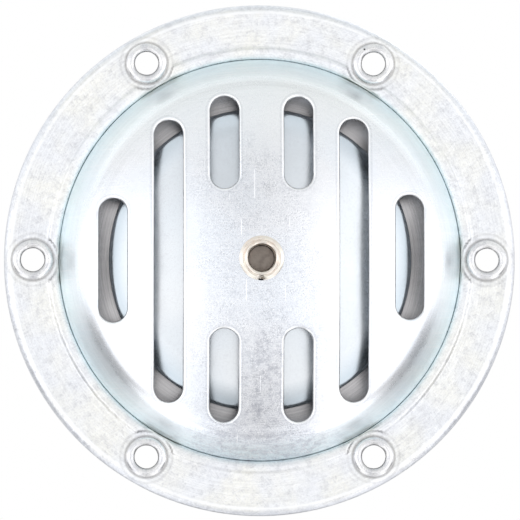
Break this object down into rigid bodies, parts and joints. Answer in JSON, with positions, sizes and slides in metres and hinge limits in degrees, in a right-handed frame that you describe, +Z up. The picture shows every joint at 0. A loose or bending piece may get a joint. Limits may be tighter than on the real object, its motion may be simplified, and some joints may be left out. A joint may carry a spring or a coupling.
{
  "type": "car horn",
  "caption": "Round electric disc horn: slotted dome grille in a riveted clamping ring, stepped housing behind, rear mounting stud and blade terminals.",
  "frame": {"origin": "on the horn's axis, in the plane of the rear bracket seat, where the free part of the mounting stud begins", "axes": "+Y along the stud, to the rear; -Y is the front with the grille; +Z up, with the contact breaker at the top and the terminals at the bottom; +X to the right as seen from the front"},
  "size_m": [0.1, 0.0559, 0.1],
  "materials": {
    "zinc_ring": "zinc plated, coined, lightly mottled",
    "zinc_grille": "zinc plated, pale blue passivation, semi-bright",
    "zinc_rivet": "zinc plated, rolled",
    "zinc_housing": "zinc plated, satin",
    "zinc_hardware": "zinc plated, turned",
    "brass_bush": "turned brass, slightly tarnished",
    "gasket": "pressed fibre, matt",
    "diaphragm_steel": "spring steel, dull",
    "tone_steel": "zinc plated, satin",
    "soft_iron": "turned and bent soft iron",
    "bobbin_plastic": "moulded phenolic",
    "copper_winding": "enamelled copper wire",
    "laminate": "paper laminate, punched",
    "spring_bronze": "rolled spring bronze",
    "contact_metal": "tungsten contact",
    "resistor_ceramic": "coated ceramic",
    "terminal_brass": "rolled brass",
    "wire_sleeve": "woven sleeve"
  },
  "bodies": {
    "housing": {"front_ring": "zinc_ring", "rim_rivets": "zinc_rivet", "grille": "zinc_grille", "centre_bush": "brass_bush", "front_gasket": "gasket", "diaphragm": "diaphragm_steel", "rear_gasket": "gasket", "rear_housing": "zinc_housing", "magnet_core": "zinc_hardware", "magnet_yoke": "soft_iron", "core_washer": "zinc_hardware", "core_nut": "zinc_hardware", "coil_bobbin": "bobbin_plastic", "coil_winding": "copper_winding", "base_insulator": "laminate", "contact_spring": "spring_bronze", "stack_insulator": "laminate", "contact_carrier": "spring_bronze", "fixed_contact": "contact_metal", "top_insulator": "laminate", "breaker_clamp_plate": "zinc_hardware", "breaker_rivets": "zinc_rivet", "adjuster_insert": "zinc_hardware", "adjusting_screw": "zinc_hardware", "adjuster_lock_nut": "zinc_hardware", "spark_resistor": "resistor_ceramic", "terminal_plate": "laminate", "inner_terminal_plate": "laminate", "terminal_blades": "terminal_brass", "terminal_rivets": "terminal_brass", "coil_leads": "copper_winding", "link_wire": "wire_sleeve"},
    "armature": {"armature": "soft_iron", "armature_stem": "soft_iron", "spacer_washer": "zinc_hardware", "tone_disc": "tone_steel", "tone_disc_washer": "zinc_hardware", "stem_nut": "zinc_hardware"},
    "contact_arm": {"push_pin": "laminate", "moving_contact": "contact_metal"}
  },
  "joints": [
    {"name": "armature_stroke", "type": "slide", "parent": "housing", "child": "armature", "axis": [0, 1, 0], "range_m": [0, 0.0008], "stiffness_N_per_m": 4000, "deforming": ["diaphragm"]},
    {"name": "contact_leaf_bend", "type": "hinge", "parent": "housing", "child": "contact_arm", "pos_m": [0, -0.0176, 0.0295], "axis": [1, 0, 0], "range_deg": [0, 4.98], "deforming": ["contact_spring"]}
  ],
  "couplings": [
    {"joint": "contact_leaf_bend", "follows": "armature_stroke", "rad_per_m": 108.5}
  ]
}
